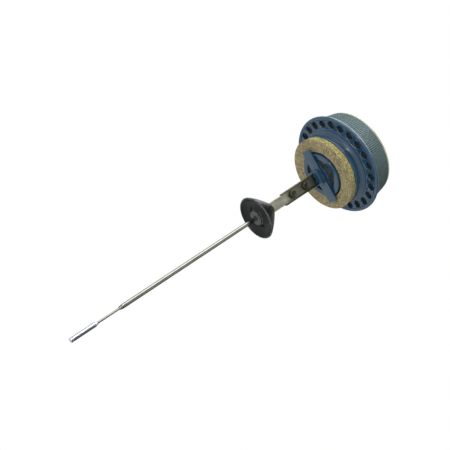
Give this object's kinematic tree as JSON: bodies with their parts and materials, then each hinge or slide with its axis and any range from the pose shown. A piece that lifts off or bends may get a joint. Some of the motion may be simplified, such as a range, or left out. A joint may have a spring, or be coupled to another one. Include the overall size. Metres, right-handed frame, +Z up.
{
  "type": "soil thermometer probe",
  "caption": "Long stainless soil temperature probe under a vented, cork-sealed round head with a locking bar, a rubber cone seal and a dial on top.",
  "frame": {"origin": "centre of the cork ring's lower face, which seats on the mouth of the soil access tube", "axes": "+Z up along the stem towards the dial, so the bulb is down -Z; +X along the locking bar; +Y is mid scale on the dial, and the bracket is open towards -Y"},
  "size_m": [0.1068, 0.1068, 0.3516],
  "materials": {
    "blue_enamel": "glossy blue enamel over cast metal",
    "cork": "granulated cork, fine cut",
    "grip_steel": "grey-blue knurled wrap, square cells",
    "cream_enamel": "satin cream enamel",
    "dial_white": "matt off-white dial print ground",
    "lens_clear": "flat clear window",
    "black_rubber": "soft black rubber, satin",
    "grey_washer": "dark grey vulcanised fibre",
    "passivated_steel": "olive-yellow passivated sheet",
    "stainless": "bright drawn stainless steel",
    "chromed": "bright chromed bulb",
    "rivet_steel": "dark oiled steel",
    "brass": "turned brass",
    "spring_steel": "grey spring steel",
    "dark_felt": "dark pressed felt",
    "pointer_red": "matt red lacquer"
  },
  "bodies": {
    "head": {"vent_flange": "blue_enamel", "cork_ring": "cork", "hub_cup": "blue_enamel", "hub_screw_1": "passivated_steel", "hub_screw_2": "passivated_steel", "hub_screw_3": "passivated_steel", "filter_screen": "spring_steel", "air_filter_ring": "dark_felt", "filter_retainer": "spring_steel", "drum_shell": "blue_enamel", "grip_mesh": "grip_steel", "dial_plate": "dial_white", "dial_spacer": "cream_enamel", "lens_gasket": "black_rubber", "dial_lens": "lens_clear", "bezel_ring": "cream_enamel", "movement_plate": "brass", "movement_pillar_1": "brass", "movement_pillar_2": "brass", "movement_pillar_3": "brass", "arbor_bush": "brass", "stop_pin_high": "brass", "stop_pin_low": "brass", "bourdon_coil": "brass", "coil_anchor": "brass", "lock_spring": "spring_steel", "capillary_pigtail": "brass"},
    "stem": {"lock_bar": "blue_enamel", "spindle": "stainless", "spring_washer": "spring_steel", "spindle_clip": "spring_steel", "stem_saddle": "blue_enamel", "stem_bracket": "passivated_steel", "stem_strip": "stainless", "upper_rivet": "rivet_steel", "lower_rivet": "rivet_steel", "cone_seal": "black_rubber", "cone_washer": "grey_washer", "tube_ferrule": "brass", "probe_tube": "stainless", "bulb_neck": "stainless", "sensing_bulb": "chromed", "capillary_line": "brass"},
    "pointer": {"pointer": "pointer_red", "pointer_arbor": "stainless", "pointer_cap": "brass"}
  },
  "joints": [
    {"name": "lock_slide", "type": "slide", "parent": "head", "child": "stem", "axis": [0, 0, -1], "range_m": [0, 0.003], "stiffness_N_per_m": 2000, "springref_m": -0.003, "deforming": ["lock_spring", "capillary_pigtail"]},
    {"name": "pointer_turn", "type": "hinge", "parent": "head", "child": "pointer", "pos_m": [0, 0, 0.043], "axis": [0, 0, -1], "range_deg": [-135, 135], "stiffness_Nm_per_rad": 0.0002}
  ]
}
